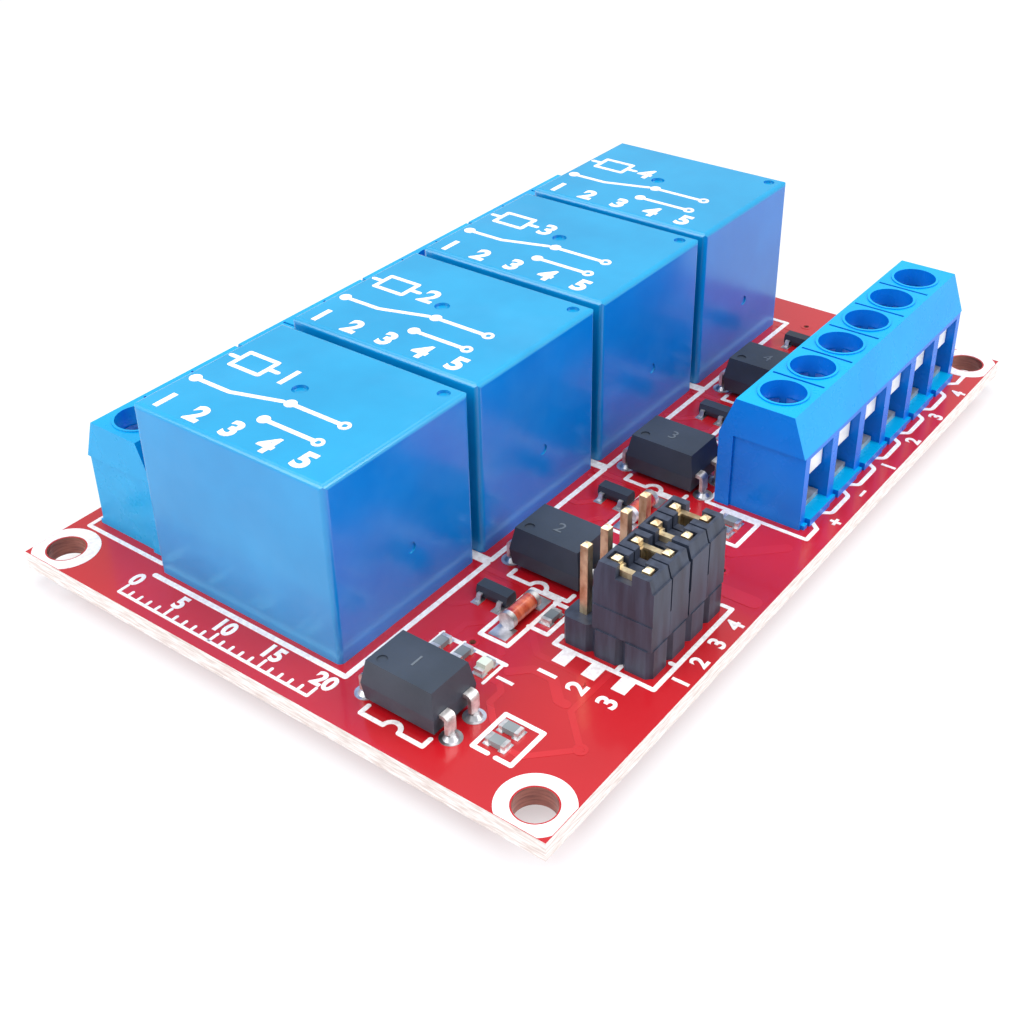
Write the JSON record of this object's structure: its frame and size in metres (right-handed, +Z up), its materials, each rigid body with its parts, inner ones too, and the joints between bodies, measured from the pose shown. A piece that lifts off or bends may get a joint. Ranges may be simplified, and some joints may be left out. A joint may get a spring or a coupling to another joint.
{
  "type": "relay module board",
  "caption": "Relay module board: a row of sealed relays on a flat panel with screw terminals along two sides, isolators and a jumper block.",
  "frame": {"origin": "centre of the board's outline, on the surface that the solder tails rest on", "axes": "+X along the long side, +Y towards the output terminals, +Z up out of the component side"},
  "size_m": [0.075, 0.0516, 0.0185],
  "materials": {
    "board": "glossy solder mask on glass-fibre laminate",
    "solder": "bright solder",
    "relay_case": "semi-gloss",
    "relay_base": "matte",
    "tinned_lead": "tinned",
    "terminal_body": "semi-gloss",
    "screw": "zinc plated",
    "clamp_leaf": "bright",
    "terminal_contact": "tinned brass",
    "moulded_package": "matte moulded epoxy",
    "diode_glass": "clear glass round a red-brown die",
    "chip_body": "glazed top",
    "led_lens": "milky lens",
    "black_plastic": "matte",
    "gold_contact": "gold flash"
  },
  "bodies": {
    "root": {"pcb": "board", "solder_joints": "solder", "relay_case_1": "relay_case", "relay_case_2": "relay_case", "relay_case_3": "relay_case", "relay_case_4": "relay_case", "relay_base_1": "relay_base", "relay_base_2": "relay_base", "relay_base_3": "relay_base", "relay_base_4": "relay_base", "relay_pins": "tinned_lead", "input_terminal_body": "terminal_body", "input_terminal_screws": "screw", "input_terminal_leaves": "clamp_leaf", "input_terminal_contacts": "terminal_contact", "output_terminal_body_1": "terminal_body", "output_terminal_body_2": "terminal_body", "output_terminal_body_3": "terminal_body", "output_terminal_body_4": "terminal_body", "output_terminal_screws": "screw", "output_terminal_leaves": "clamp_leaf", "output_terminal_contacts": "terminal_contact", "isolator_1": "moulded_package", "isolator_2": "moulded_package", "isolator_3": "moulded_package", "isolator_4": "moulded_package", "isolator_leads": "tinned_lead", "transistor_1": "moulded_package", "transistor_2": "moulded_package", "transistor_3": "moulded_package", "transistor_4": "moulded_package", "transistor_leads": "tinned_lead", "diode_glass": "diode_glass", "diode_caps": "tinned_lead", "chip_bodies": "chip_body", "chip_ends": "tinned_lead", "led_bodies": "led_lens", "led_ends": "tinned_lead", "header_base": "black_plastic", "header_pins": "gold_contact", "jumper_cap_1": "black_plastic", "jumper_cap_2": "black_plastic", "jumper_cap_3": "black_plastic", "jumper_cap_4": "black_plastic", "jumper_clip_1": "gold_contact", "jumper_clip_2": "gold_contact", "jumper_clip_3": "gold_contact", "jumper_clip_4": "gold_contact"}
  },
  "joints": []
}
